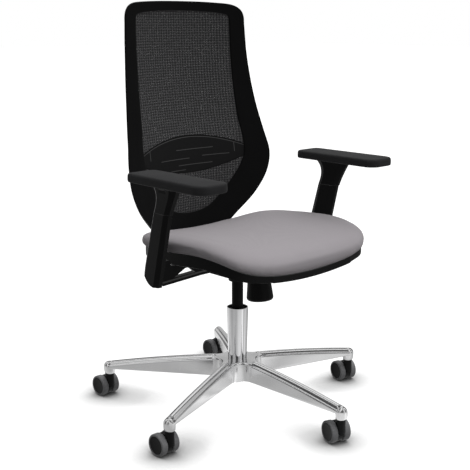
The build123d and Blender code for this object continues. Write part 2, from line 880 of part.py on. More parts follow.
def frame_outline():
    side_top = back_top - 45.5
    shoulder = back_top - 5.5
    right = Spline(
        (64, back_low), (130, 436), (190, 497), (222, 553), (frame_half, 605), (221, 660), (207, 740),
        (195, 840), (188.5, side_top),
        tangents=[(0.6, 1), (-0.02, 1)],
    )
    corner = ThreePointArc((188.5, side_top), (178, back_top - 15.5), (150, shoulder))
    crown = ThreePointArc((150, shoulder), (0, back_top), (-150, shoulder))
    base = Line((-64, back_low), (64, back_low))
    return [right, corner, crown, mirrored(corner), mirrored(right), base]


def window_outline():
    window_top = back_top - head_bar
    side_top = window_top - 19
    shoulder = window_top - 7.5
    lower = Spline(
        (0, window_low), (62, 476), (107, 518), (143, 561), (window_half - 3, 598), (window_half, 636),
        (156.4, 700), (152.3, 780), (150, 880), (148.8, side_top),
        tangents=[(1, 0), (-0.01, 1)],
    )
    corner = ThreePointArc((148.8, side_top), (145.5, window_top - 11), (137, shoulder))
    top = ThreePointArc((137, shoulder), (0, window_top), (-137, shoulder))
    return [lower, corner, top, mirrored(corner), mirrored(lower)]


def rail_frame():
    """The lumbar rails' own frame: origin on the middle line, +Z along the way the panel slides."""
    z = (lumbar_low + lumbar_high) / 2
    return Location((0, lumbar_line_y, z), (-math.degrees(math.atan(lumbar_lean)), 0, 0))


def stile_rear():
    """In that frame, the depth of the frame's rear face at the rails; the back curls forward there."""
    return frame_thick - rear_curve() * rail_x * rail_x


def make_rails():
    rails = []
    half_length = lumbar_end / 2 + rail_reach
    near = stile_rear() + rail_stand_off
    far = near + rail_thick
    for side in (-1, 1):
        x0 = side * rail_x - rail_half_width
        x1 = side * rail_x + rail_half_width
        bar = block(x0, x1, near, far, -half_length, half_length)
        bar += block(x0, x1, near - rail_stand_off - 5, far, half_length - 8, half_length)
        bar += block(x0, x1, near - rail_stand_off - 5, far, -half_length, 8 - half_length)
        rails.append(rail_frame() * bar)
    return rails


def make_back_frame():
    ring = outline_prism(frame_outline()) - outline_prism(window_outline())
    frame = common(ring, back_slab(0, frame_thick, rear_curve()))
    for rail in make_rails():
        frame -= rail
    for x, z in back_bolt_spots():
        frame -= back_bolt_hole(x, z)
    return frame


def make_back_mesh():
    return common(outline_prism(window_outline()), back_slab(mesh_set_back, mesh_thick))


def curved_sheet(half_width, front, thick, low, high):
    """A sheet with the curl of the back, upright in the rails' frame."""
    curl = back_curve * half_width * half_width
    rear = front + thick
    points = [
        (-half_width, front - curl), (half_width, front - curl),
        (half_width, rear - curl), (-half_width, rear - curl),
    ]
    base = Plane(origin=(0, 0, low), x_dir=(1, 0, 0), z_dir=(0, 0, 1))
    return extrude(section(base, points, {0: (0, front), 2: (0, rear)}), high - low)


def make_lumbar():
    """Lens-shaped panel close behind the mesh; ears at its ends step back and slide on the rails."""
    half_high = (lumbar_high - lumbar_low) / 2
    end = lumbar_end / 2
    outline = [
        ThreePointArc((-lumbar_half, -end), (0, -half_high), (lumbar_half, -end)),
        Line((lumbar_half, -end), (lumbar_half, end)),
        ThreePointArc((lumbar_half, end), (0, half_high), (-lumbar_half, end)),
        Line((-lumbar_half, end), (-lumbar_half, -end)),
    ]
    lens_block = extrude(xz_plane(80) * make_face(outline), 160)
    sheet = curved_sheet(lumbar_half + 5, lumbar_set_back, lumbar_thick, -half_high - 5, half_high + 5)
    panel = common(lens_block, sheet)
    near = stile_rear() + rail_stand_off
    far = near + rail_thick + 4
    front = lumbar_set_back - back_curve * lumbar_half * lumbar_half + lumbar_thick / 2
    inner = lumbar_half - ear_width
    outer = rail_x + rail_half_width + 3
    ear_half = end - 5
    for side in (-1, 1):
        panel += block(side * inner, side * lumbar_half, front, far, -ear_half, ear_half)
        panel += block(side * inner, side * outer, near - 2, far, -ear_half, ear_half)
        x = side * rail_x
        reach = rail_half_width + clear
        panel -= block(x - reach, x + reach, near - clear, near + rail_thick + clear, -end, end)
    for x, z, length in lumbar_slots:
        low = z - slot_height / 2
        panel -= block(x - length / 2, x + length / 2, -60, 60, low, low + slot_height)
    return rail_frame() * panel


def back_bolt_spots():
    return [(x, z) for x in (-22, 22) for z in (395, 438)]


def carrier_face():
    """Depth of the carrier's upright face, which lies against the back of the frame."""
    return 172.0 + frame_thick


def back_bolt_hole(x, z):
    length = 60
    return Pos(x, carrier_face(), z) * Rot(90, 0, 0) * Cylinder(back_bolt_radius, length)


def make_carrier():
    """J-shaped bar: a fork on the rear pivot, a run back under the seat, and an upright behind the frame."""
    low = rear_pivot_z - carrier_thick / 2
    high = rear_pivot_z + carrier_thick / 2
    start = housing_rear + 4
    rear = carrier_face() + carrier_thick
    side = make_face(
        Polyline(
            (start, low), (rear, low), (rear, carrier_top), (carrier_face() - 6, carrier_top),
            (carrier_face() - 6, high), (start, high),
            close=True,
        )
    )
    bends = [v for v in side.vertices() if v.Y < high + 1 and v.X > start + 1]
    side = fillet(bends, 22)
    run = extrude(Plane.YZ * side, carrier_half, both=True)
    inner = housing_half + clear
    outer = inner + ear_thick + 4
    bridge = block(-outer, outer, start, start + 26, low, high)
    carrier = run + bridge
    for turn in (-1, 1):
        ear = block(turn * inner, turn * outer, rear_pivot_y, start + 26, low, high)
        ear += along_x(ear_radius, turn * inner, turn * outer, rear_pivot_y, rear_pivot_z)
        ear -= along_x(pivot_radius + running, turn * inner, turn * outer, rear_pivot_y, rear_pivot_z)
        carrier += ear
    bed = back_low - clear
    above = block(-2 * carrier_half, 2 * carrier_half, 120, rear + 1, bed, carrier_top + 1)
    carrier -= common(back_slab(0, frame_thick, rear_curve()), above)
    carrier -= block(-2 * carrier_half, 2 * carrier_half, 120, carrier_face() - 6, bed, carrier_top + 1)
    for x, z in back_bolt_spots():
        carrier -= back_bolt_hole(x, z)
    return carrier


def make_back_bolts():
    bolts = []
    for x, z in back_bolt_spots():
        rear = carrier_face() + carrier_thick
        front = 172.0 + 4
        shank = Pos(x, (front + rear) / 2, z) * Rot(90, 0, 0) * Cylinder(back_bolt_radius, rear - front)
        head = Pos(x, rear + 2.5, z) * Rot(90, 0, 0) * Cylinder(back_bolt_head, 5)
        bolts.append(shank + head)
    return bolts


# ---- write every piece ----
def write(name, shape):
    """Write one node; a list of solids becomes one node of separate solids."""
    if isinstance(shape, list):
        shape = Compound(children=shape)
    shape.label = name
    export_step(shape, os.path.join("parts", name + ".step"))


def main():
    os.makedirs("parts", exist_ok=True)
    write("five_star_base", make_base())
    write("column_tube", make_column_tube())
    write("guide_bush", make_guide_bush())
    write("thrust_bearing", make_bearing())
    write("piston_rod", make_rod())
    write("retaining_clip", make_clip())
    write("gas_cylinder", make_gas_cylinder())
    write("release_pin", make_release_pin())
    write("mechanism_housing", make_housing())
    write("tilt_spring", make_tilt_spring())
    write("front_pivot_shaft", make_pivot_shaft(front_pivot_y, front_pivot_z))
    write("rear_pivot_shaft", make_pivot_shaft(rear_pivot_y, rear_pivot_z))
    write("tension_knob", make_knob())
    write("tension_screw", make_tension_screw())
    write("height_lever", make_height_lever())
    write("tilt_lock_lever", make_lock_lever())
    write("seat_plate", make_seat_plate())
    write("seat_shell", make_shell())
    write("seat_cushion", make_cushion())
    write("seat_screws", make_seat_screws())
    write("arm_bolts", make_arm_bolts())
    for side in ("left", "right"):
        for name, shape in (
            ("arm_upright", make_arm_upright()),
            ("arm_post", make_arm_post()),
            ("arm_pad", make_arm_pad()),
            ("arm_button", button_shape(0)),
        ):
            write(side + "_" + name, shape if side == "left" else mirrored(shape))
    write("back_carrier", make_carrier())
    write("back_frame", make_back_frame())
    write("back_mesh", make_back_mesh())
    write("back_bolts", make_back_bolts())
    write("lumbar_rails", make_rails())
    write("lumbar_panel", make_lumbar())
    for index in range(base_arms):
        number = "_" + str(index + 1)
        write("caster_stem" + number, place_caster(make_caster_stem(), index))
        write("caster_hood" + number, place_caster(make_caster_hood(), index))
        write("wheel_axle" + number, place_caster(make_axle(), index))
        for side, hub, tread in zip(("right", "left"), make_hubs(), make_treads()):
            write(side + "_wheel" + number, [place_caster(hub, index), place_caster(tread, index)])


main()
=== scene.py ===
"""Looks of a swivel task chair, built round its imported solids. Shapes are drawn in millimetres."""
import json
import math

import bpy
import bmesh
import numpy as np
from mathutils import Matrix, Vector

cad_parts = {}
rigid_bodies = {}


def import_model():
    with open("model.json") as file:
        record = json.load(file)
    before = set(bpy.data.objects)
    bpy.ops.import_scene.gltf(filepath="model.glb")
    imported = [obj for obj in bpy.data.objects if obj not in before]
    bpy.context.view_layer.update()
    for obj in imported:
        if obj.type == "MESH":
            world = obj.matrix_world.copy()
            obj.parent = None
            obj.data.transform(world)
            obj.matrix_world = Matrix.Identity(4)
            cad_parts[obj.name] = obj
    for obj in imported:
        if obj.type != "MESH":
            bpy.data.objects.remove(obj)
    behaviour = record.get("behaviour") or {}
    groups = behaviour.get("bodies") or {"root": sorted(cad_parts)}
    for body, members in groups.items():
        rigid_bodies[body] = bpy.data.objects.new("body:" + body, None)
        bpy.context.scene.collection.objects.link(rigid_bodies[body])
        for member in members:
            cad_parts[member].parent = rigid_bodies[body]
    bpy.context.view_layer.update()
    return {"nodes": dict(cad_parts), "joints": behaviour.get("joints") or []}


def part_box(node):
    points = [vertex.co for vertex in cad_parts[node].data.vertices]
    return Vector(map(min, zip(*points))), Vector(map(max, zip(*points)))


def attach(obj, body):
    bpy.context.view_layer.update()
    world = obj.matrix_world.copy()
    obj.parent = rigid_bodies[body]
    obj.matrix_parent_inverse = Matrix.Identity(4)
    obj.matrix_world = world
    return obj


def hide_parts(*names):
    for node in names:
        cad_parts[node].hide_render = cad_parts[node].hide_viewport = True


MM = 0.001
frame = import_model()
nodes = frame["nodes"]
scene = bpy.context.scene


# ---------------------------------------------------------------- shapes
def by_length(points, count, closed):
    """The given number of points, evenly spread by length along a fine polyline."""
    run = np.concatenate([[0], np.cumsum(np.linalg.norm(np.diff(points, axis=0), axis=1))])
    at = np.linspace(0, run[-1], count, endpoint=not closed)
    return np.stack([np.interp(at, run, points[:, k]) for k in range(points.shape[1])], 1)


def smooth_through(points, count, closed=False):
    """Points on a smooth (centripetal Catmull-Rom) curve through the given ones, evenly spread by length."""
    p = np.array(points, float)
    if closed:
        p = np.vstack([p[-1], p, p[0], p[1]])
    else:
        p = np.vstack([2 * p[0] - p[1], p, 2 * p[-1] - p[-2]])
    fine = []
    for i in range(1, len(p) - 2):
        a, b, c, d = p[i - 1], p[i], p[i + 1], p[i + 2]
        t0 = 0.0
        t1 = t0 + max(np.linalg.norm(b - a), 1e-9) ** 0.5
        t2 = t1 + max(np.linalg.norm(c - b), 1e-9) ** 0.5
        t3 = t2 + max(np.linalg.norm(d - c), 1e-9) ** 0.5
        for t in np.linspace(t1, t2, 24, endpoint=False):
            a1 = (t1 - t) / (t1 - t0) * a + (t - t0) / (t1 - t0) * b
            a2 = (t2 - t) / (t2 - t1) * b + (t - t1) / (t2 - t1) * c
            a3 = (t3 - t) / (t3 - t2) * c + (t - t2) / (t3 - t2) * d
            b1 = (t2 - t) / (t2 - t0) * a1 + (t - t0) / (t2 - t0) * a2
            b2 = (t3 - t) / (t3 - t1) * a2 + (t - t1) / (t3 - t1) * a3
            fine.append((t2 - t) / (t2 - t1) * b1 + (t - t1) / (t2 - t1) * b2)
    fine.append(p[-2])
    return by_length(np.array(fine), count, closed)


def rounded(corners, radii, count):
    """Evenly spread points of a closed polygon whose corners are arcs of the given radii."""
    pts = []
    n = len(corners)
    for i in range(n):
        p = np.array(corners[i], float)
        a = np.array(corners[i - 1], float) - p
        b = np.array(corners[(i + 1) % n], float) - p
        a /= np.linalg.norm(a)
        b /= np.linalg.norm(b)
        half = math.acos(float(np.dot(a, b))) / 2
        centre = p + (a + b) / np.linalg.norm(a + b) * radii[i] / math.sin(half)
        start = p + a * radii[i] / math.tan(half) - centre
        end = p + b * radii[i] / math.tan(half) - centre
        t0 = math.atan2(start[1], start[0])
        turn = (math.atan2(end[1], end[0]) - t0 + math.pi) % (2 * math.pi) - math.pi
        for t in np.linspace(t0, t0 + turn, 24):
            pts.append(centre + radii[i] * np.array([math.cos(t), math.sin(t)]))
    return by_length(np.array(pts + [pts[0]]), count, True)


def mirrored(half):
    """A closed outline from its half at positive x, whose first and last points lie on the middle."""
    return half + [(-x, y) for x, y in half[-2:0:-1]]


def outward(loop):
    """Unit normals of a closed loop in its own plane, pointing away from its middle."""
    step = np.roll(loop, -1, 0) - np.roll(loop, 1, 0)
    normal = np.stack([step[:, 1], -step[:, 0]], 1) / np.linalg.norm(step, axis=1)[:, None]
    return normal if (normal * (loop - loop.mean(0))).sum() > 0 else -normal


def curve_value(table):
    """A smooth function through (input, value) pairs, whose slopes are weighted means of the neighbours'."""
    x = np.array([a for a, _ in table], float)
    y = np.array([b for _, b in table], float)
    h = np.diff(x)
    s = np.diff(y) / h
    m = np.concatenate([[s[0]], (s[:-1] * h[1:] + s[1:] * h[:-1]) / (h[1:] + h[:-1]), [s[-1]]])

    def value(v):
        v = np.clip(np.asarray(v, float), x[0], x[-1])
        i = np.clip(np.searchsorted(x, v) - 1, 0, len(h) - 1)
        t = (v - x[i]) / h[i]
        return (
            (2 * t**3 - 3 * t**2 + 1) * y[i]
            + (t**3 - 2 * t**2 + t) * h[i] * m[i]
            + (-2 * t**3 + 3 * t**2) * y[i + 1]
            + (t**3 - t**2) * h[i] * m[i + 1]
        )

    return value


def grid_faces(rows, cols, wrap_rows=False, wrap_cols=False):
    """Quads of a grid of rows x cols points, joined round where asked."""
    row, col = np.meshgrid(
        np.arange(rows if wrap_rows else rows - 1),
        np.arange(cols if wrap_cols else cols - 1),
        indexing="ij",
    )
    next_row, next_col = (row + 1) % rows, (col + 1) % cols
    corners = [row * cols + col, row * cols + next_col, next_row * cols + next_col, next_row * cols + col]
    return np.stack(corners, -1).reshape(-1, 4)


def capped(rings, low, high):
    """Points and faces of stacked closed rings, shut by a point below the first and one above the last."""
    count = len(rings[0])
    verts = np.vstack([[low]] + rings + [[high]]) * MM
    faces = [tuple(q + 1) for q in grid_faces(len(rings), count, wrap_cols=True)]
    end = len(verts) - 1
    final = 1 + (len(rings) - 1) * count
    faces += [(0, 1 + (k + 1) % count, 1 + k) for k in range(count)]
    faces += [(end, final + k, final + (k + 1) % count) for k in range(count)]
    return verts, faces


def shade_smooth(obj):
    """Shade every face of an object smooth."""
    for poly in obj.data.polygons:
        poly.use_smooth = True


def new_piece(name, verts, faces, materials, picks=None):
    """A mesh object at the origin, with outward normals, smooth shading and its materials."""
    mesh = bpy.data.meshes.new(name)
    points = [tuple(v) for v in np.asarray(verts, float)]
    mesh.from_pydata(points, [], [tuple(int(i) for i in f) for f in faces])
    if picks is not None:
        mesh.polygons.foreach_set("material_index", [int(k) for k in picks])
    b = bmesh.new()
    b.from_mesh(mesh)
    bmesh.ops.remove_doubles(b, verts=b.verts, dist=2e-6)
    bmesh.ops.recalc_face_normals(b, faces=b.faces)
    b.to_mesh(mesh)
    b.free()
    obj = bpy.data.objects.new(name, mesh)
    scene.collection.objects.link(obj)
    for m in materials:
        mesh.materials.append(m)
    shade_smooth(obj)
    return obj


def sharpen(obj, degrees):
    """Edges bent by more than this are shaded sharp."""
    b = bmesh.new()
    b.from_mesh(obj.data)
    limit = math.radians(degrees)
    for e in b.edges:
        e.smooth = not (len(e.link_faces) == 2 and e.calc_face_angle(0.0) > limit)
    b.to_mesh(obj.data)
    b.free()


def apply_modifiers(obj):
    """Make what the modifiers do part of the mesh."""
    graph = bpy.context.evaluated_depsgraph_get()
    done = bpy.data.meshes.new_from_object(obj.evaluated_get(graph))
    obj.modifiers.clear()
    old = obj.data
    obj.data = done
    done.name = old.name
    bpy.data.meshes.remove(old)


def softened(cad, material, width, segments, angle):
    """A copy of a CAD node whose edges sharper than an angle are rounded to a width in millimetres."""
    name = cad + "_soft"
    b = bmesh.new()
    b.from_mesh(nodes[cad].data)
    b.transform(nodes[cad].matrix_world)
    bmesh.ops.remove_doubles(b, verts=b.verts, dist=1e-5)
    bmesh.ops.dissolve_limit(b, angle_limit=math.radians(0.8), verts=b.verts, edges=b.edges)
    mesh = bpy.data.meshes.new(name)
    b.to_mesh(mesh)
    b.free()
    obj = bpy.data.objects.new(name, mesh)
    scene.collection.objects.link(obj)
    mod = obj.modifiers.new("round", "BEVEL")
    mod.width = width * MM
    mod.segments = segments
    mod.limit_method = "ANGLE"
    mod.angle_limit = math.radians(angle)
    mod.use_clamp_overlap = True
    mod.harden_normals = False
    weighted = obj.modifiers.new("normals", "WEIGHTED_NORMAL")
    weighted.keep_sharp = True
    shade_smooth(obj)
    apply_modifiers(obj)
    shade_smooth(obj)
    obj.data.materials.clear()
    obj.data.materials.append(material)
    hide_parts(cad)
    return obj


def turned(profile, centre, axis, count):
    """Points of a solid of revolution; profile is (radius, distance along the axis) pairs."""
    axis = Vector(axis).normalized()
    side = axis.orthogonal().normalized()
    up = axis.cross(side)
    a = np.linspace(0, 2 * math.pi, count, endpoint=False)
    around = np.cos(a)[:, None] * np.array(side) + np.sin(a)[:, None] * np.array(up)
    pts = [np.array(centre) + np.array(axis) * along + radius * around for radius, along in profile]
    return np.concatenate(pts), grid_faces(len(profile), count, wrap_cols=True)


# ---------------------------------------------------------------- shader nodes
def material(name):
    """A new node material with a plain shader: the material, its node tree, its shader and its output."""
    m = bpy.data.materials.new(name)
    m.use_nodes = True
    tree = m.node_tree
    tree.nodes.clear()
    out = tree.nodes.new("ShaderNodeOutputMaterial")
    shader = tree.nodes.new("ShaderNodeBsdfPrincipled")
    tree.links.new(shader.outputs[0], out.inputs["Surface"])
    return m, tree, shader, out


def feed(tree, value, socket):
    """Link an output to a socket, or set the socket to a plain value."""
    if isinstance(value, bpy.types.NodeSocket):
        tree.links.new(value, socket)
    else:
        socket.default_value = value


def feed_all(tree, target, values):
    """Feed several inputs of a node, each by its name."""
    for name, value in values.items():
        feed(tree, value, target.inputs[name])


def node(tree, kind, **values):
    """A new node with some of its inputs fed; an underscore stands for a space in an input's name."""
    n = tree.nodes.new(kind)
    feed_all(tree, n, {name.replace("_", " "): value for name, value in values.items()})
    return n


def math_node(tree, operation, a, b=None, clamp=False):
    """The result of a sum on one or two numbers or outputs."""
    n = tree.nodes.new("ShaderNodeMath")
    n.operation = operation
    n.use_clamp = clamp
    feed(tree, a, n.inputs[0])
    if b is not None:
        feed(tree, b, n.inputs[1])
    return n.outputs[0]


def add(tree, a, b, clamp=False):
    """a + b"""
    return math_node(tree, "ADD", a, b, clamp)


def minus(tree, a, b):
    """a - b"""
    return math_node(tree, "SUBTRACT", a, b)


def times(tree, a, b):
    """a x b"""
    return math_node(tree, "MULTIPLY", a, b)


def between(tree, value, low, high):
    """1 where a value lies between two limits."""
    return times(tree, math_node(tree, "GREATER_THAN", value, low), math_node(tree, "LESS_THAN", value, high))


def vector_math(tree, operation, a, b=None):
    """A node that works on one or two vectors."""
    n = tree.nodes.new("ShaderNodeVectorMath")
    n.operation = operation
    feed(tree, a, n.inputs[0])
    if b is not None:
        feed(tree, b, n.inputs[1])
    return n


def coordinates(tree, kind="Object"):
    """A texture coordinate."""
    return tree.nodes.new("ShaderNodeTexCoord").outputs[kind]


def mix_colour(tree, blend, factor, a, b):
    """Two colours blended."""
    n = tree.nodes.new("ShaderNodeMix")
    n.data_type = "RGBA"
    n.blend_type = blend
    feed(tree, factor, n.inputs["Factor"])
    feed(tree, a, n.inputs[6])
    feed(tree, b, n.inputs[7])
    return n.outputs[2]


def choose(tree, factor, low, high):
    """The first shader where the factor is 0 and the second where it is 1."""
    n = tree.nodes.new("ShaderNodeMixShader")
    feed(tree, factor, n.inputs[0])
    feed(tree, low.outputs[0], n.inputs[1])
    feed(tree, high.outputs[0], n.inputs[2])
    return n


def noise(tree, scale, detail, rough):
    """Noise in the object's own space."""
    place = coordinates(tree)
    n = node(tree, "ShaderNodeTexNoise", Scale=scale, Detail=detail, Roughness=rough, Vector=place)
    return n.outputs["Fac"]


def wave(tree, direction, pitch, distortion):
    """Sine bands across one axis of the object, with the given pitch in metres."""
    w = node(tree, "ShaderNodeTexWave", Scale=2 * math.pi / (pitch * 20), Distortion=distortion, Detail=2.0,
             Detail_Scale=1.5, Vector=coordinates(tree))
    w.wave_type = "BANDS"
    w.bands_direction = direction
    w.wave_profile = "SIN"
    return w.outputs["Fac"]


def grey(v):
    """A neutral colour."""
    return (v, v, v)


def scaled(colour, factor):
    """A colour made lighter or darker."""
    return tuple(c * factor for c in colour)


def ramp(tree, source, stops):
    """A colour ramp; stops are (place, colour)."""
    r = tree.nodes.new("ShaderNodeValToRGB")
    el = r.color_ramp.elements
    while len(el) < len(stops):
        el.new(0.5)
    for e, (place, colour) in zip(el, stops):
        e.position = place
        e.color = (*colour, 1.0)
    tree.links.new(source, r.inputs[0])
    return r.outputs["Color"]


def bump(tree, shader, height, distance, strength=1.0):
    """Relief from a height between 0 and 1, over a distance in metres."""
    b = node(tree, "ShaderNodeBump", Strength=strength, Distance=distance, Height=height)
    tree.links.new(b.outputs[0], shader.inputs["Normal"])


# ---------------------------------------------------------------- materials
def plastic(name, colour, roughness, grain=900.0, depth=0.00006, gloss=0.16):
    """Moulded plastic: fine spark-eroded grain, a little unevenness in tone and gloss."""
    spread = 0.12
    m, tree, shader, _ = material(name)
    fine = noise(tree, grain, 2.0, 0.6)
    cloud = noise(tree, 14.0, 3.0, 0.5)
    tone = ramp(tree, cloud, [(0.3, scaled(colour, 1 - spread)), (0.7, scaled(colour, 1 + spread))])
    rough = ramp(tree, fine, [(0.3, grey(roughness - 0.05)), (0.75, grey(roughness + 0.06))])
    feed_all(tree, shader, {"Base Color": tone, "Roughness": rough, "Specular IOR Level": gloss})
    bump(tree, shader, fine, depth)
    return m


def metal(name, colour, roughness, streak):
    """Polished or ground metal with faint unevenness in its gloss."""
    m, tree, shader, _ = material(name)
    cloud = noise(tree, 22.0, 4.0, 0.6)
    tint = ramp(tree, cloud, [(0.3, scaled(colour, 0.95)), (0.7, colour)])
    fine = noise(tree, 260.0, 3.0, 0.6)
    smoothest = max(roughness - streak, 0.02)
    rough = ramp(tree, fine, [(0.3, grey(smoothest)), (0.7, grey(roughness + streak))])
    feed_all(tree, shader, {"Metallic": 1.0, "Base Color": tint, "Roughness": rough})
    return m


def upholstery(name, colour):
    """Fine plain-weave seat cloth: crossed threads, a faint melange and a soft sheen."""
    pitch, waver = 0.0011, 0.6
    m, tree, shader, _ = material(name)
    warp, weft, rise = (wave(tree, direction, pitch, waver) for direction in "XYZ")
    threads = math_node(tree, "MAXIMUM", math_node(tree, "MAXIMUM", warp, weft), rise)
    melange = noise(tree, 620.0, 3.0, 0.7)
    cloud = noise(tree, 9.0, 3.0, 0.5)
    both = add(tree, times(tree, threads, 0.45), times(tree, melange, 0.9))
    mixed = add(tree, both, times(tree, cloud, 0.35))
    tone = ramp(tree, mixed, [(0.55, scaled(colour, 0.93)), (0.96154, scaled(colour, 1.06))])
    feed_all(tree, shader, {
        "Base Color": tone, "Roughness": 0.9, "Specular IOR Level": 0.18,
        "Sheen Weight": 0.12, "Sheen Roughness": 0.45,
    })
    bump(tree, shader, both, 0.00009, 0.4)
    return m


# the lens over the lumbar panel, in metres; its light lines are painted highlights and its dark rim is painted
# shade
lens_z = 0.6135  # its middle
lens_half = 0.0465  # its half height in the middle
lens_bow = 1.15  # its edges close by this times x squared
lens_shade_rim = (-0.0008, 0.0022)  # painted shade along the rim, as distances inside the edge
lens_upper_highlight = (0.0034, 0.0052)  # painted highlight along the upper edge, in the same way
line_base = 0.6130
line_half = 0.0009
lens_highlight_lines = (  # middle, height over the base and length of each painted highlight line
    (0.016, 0.0125, 0.118), (-0.050, -0.0095, 0.097), (0.081, -0.0065, 0.082),
    (0.016, -0.0255, 0.109), (-0.040, -0.0375, 0.050),
)
end_highlight = ((0.1362, 0.1382), (0.610, 0.634))  # painted highlight at each end of the lens: x either side of the middle, and z


def lens(tree, x, z):
    """The lens as three masks: its area, the painted highlight lines on it, and the painted shade line round
    it.
    """
    rise = math_node(tree, "ABSOLUTE", minus(tree, z, lens_z))
    bow = times(tree, times(tree, x, x), lens_bow)
    inside = minus(tree, minus(tree, lens_half, bow), rise)
    zone = math_node(tree, "GREATER_THAN", inside, 0.0)
    # the outline mask is a painted shade line along the lens's rim
    outline = between(tree, inside, *lens_shade_rim)
    upper = math_node(tree, "GREATER_THAN", z, lens_z)
    upper_highlight = times(tree, between(tree, inside, *lens_upper_highlight), upper)
    # painted highlights: along the upper edge, at each end of the lens and along each line
    marks, heights = end_highlight
    end = times(tree, between(tree, math_node(tree, "ABSOLUTE", x), *marks), between(tree, z, *heights))
    light = math_node(tree, "MAXIMUM", upper_highlight, end)
    for middle, height, length in lens_highlight_lines:
        level = line_base + height
        high = between(tree, z, level - line_half, level + line_half)
        wide = between(tree, x, middle - length / 2, middle + length / 2)
        light = add(tree, light, times(tree, high, wide))
    return zone, light, outline


def woven_mesh(name, colour, open_share):
    """Black knitted back mesh with small eyes; a lens-shaped zone over the lumbar panel is knitted closed, with
    painted highlight lines and a painted shade rim.
    """
    m, tree, shader, _ = material(name)
    place = node(tree, "ShaderNodeSeparateXYZ", Vector=coordinates(tree))
    zone, light, outline = lens(tree, place.outputs["X"], place.outputs["Z"])
    eye_pitch, eye_waver = 0.0024, 0.25
    eyes = times(tree, wave(tree, "X", eye_pitch, eye_waver), wave(tree, "Z", eye_pitch, eye_waver))
    slub = noise(tree, 300.0, 3.0, 0.75)
    bands = add(tree, wave(tree, "X", 0.0082, 1.2), wave(tree, "Z", 0.0064, 1.2))
    tone = add(tree, times(tree, slub, 0.56), times(tree, bands, 0.22))
    knit = ramp(tree, tone, [(0.38, scaled(colour, 0.5)), (0.66, scaled(colour, 1.6))])
    closed = mix_colour(tree, "MIX", zone, knit, scaled(colour, 0.2) + (1,))
    # painted highlights on the lens's lines, upper edge and ends, less painted shade along its rim
    painted_light_and_shade = minus(tree, times(tree, light, 0.05), times(tree, outline, 0.02))
    total = vector_math(tree, "ADD", closed, painted_light_and_shade).outputs[0]
    darkest = vector_math(tree, "MAXIMUM", total, grey(0.002)).outputs[0]
    feed_all(tree, shader, {"Base Color": darkest, "Roughness": 0.8, "Specular IOR Level": 0.12})
    bump(tree, shader, times(tree, minus(tree, 1.0, eyes), minus(tree, 1.0, zone)), 0.0003, 0.4)
    hole = math_node(tree, "GREATER_THAN", eyes, 1 - open_share)
    tree.links.new(add(tree, minus(tree, 1.0, hole), zone, clamp=True), shader.inputs["Alpha"])
    return m


BLACK = plastic("black_plastic", (0.0062, 0.0062, 0.0064), 0.44, gloss=0.08)
FRAME_BLACK = plastic("frame_plastic", (0.0036, 0.0036, 0.0038), 0.5, gloss=0.06)
PAD = plastic("soft_pad", (0.0185, 0.0185, 0.0196), 0.62, grain=700.0, depth=0.00012, gloss=0.14)
DISC = plastic("hub_plastic", (0.0045, 0.0045, 0.0048), 0.5, gloss=0.14)
TREAD = plastic("grey_tread", (0.165, 0.165, 0.17), 0.6, grain=600.0, gloss=0.3)
ALUMINIUM = metal("polished_aluminium", (0.84, 0.84, 0.845), 0.20, 0.02)
CHROME = metal("chromed_tube", (0.84, 0.84, 0.85), 0.07, 0.01)
STEEL = metal("steel", (0.50, 0.50, 0.51), 0.30, 0.06)
DARK_METAL = plastic("black_paint", (0.006, 0.006, 0.0064), 0.38, grain=500.0, depth=0.00003)
CLOTH = upholstery("seat_cloth", (0.266, 0.249, 0.262))
MESH = woven_mesh("back_mesh_cloth", (0.046, 0.046, 0.047), 0.009)


# ---------------------------------------------------------------- seat
seat_half = 232.0  # half the seat's width, where the edge heights below are measured
seam = 0.6  # gap between the cushion's underside and the rim of the shell
cushion_middle = -50.0  # depth of the point that the cushion's spokes start from
# heights along the seat, as (depth, height) pairs: rim and cushion's top, in the middle and at the sides
rim_middle = curve_value([
    (-247, 395), (-212, 395), (-100, 397), (-20, 399), (60, 402), (112, 407), (150, 411),
])
rim_edge = curve_value([
    (-247, 421), (-237, 424), (-212, 431), (-170, 439), (-100, 441),
    (-20, 435), (60, 430), (112, 428), (150, 425),
])
top_middle = curve_value([
    (-247, 439), (-205, 446), (-130, 450), (-30, 451), (40, 448), (90, 442.5), (120, 438.5), (150, 436),
])
top_edge = curve_value([
    (-247, 446), (-205, 460), (-130, 471), (-30, 469), (40, 465), (90, 465), (120, 465), (150, 458),
])


def seat_rim(x, y):
    """Height of the line where cushion and shell meet: a parabola across the seat."""
    return rim_middle(y) + (rim_edge(y) - rim_middle(y)) * (x / seat_half) ** 2


def seat_top(x, y):
    """Height of the cushion's top before its edge rounds off: hollow across, falling at the front."""
    return top_middle(y) + (top_edge(y) - top_middle(y)) * (x / seat_half) ** 2


def seat_outline(count):
    """Plan of the cushion's foot."""
    half = [
        (0, -248), (80, -248), (128, -246.5), (172, -236.5), (207, -211), (223, -168), (231, -100),
        (232.5, -20), (222, 60), (194, 112), (150, 138), (112, 147), (60, 149.5), (0, 150),
    ]
    return smooth_through(mirrored(half), count, closed=True)


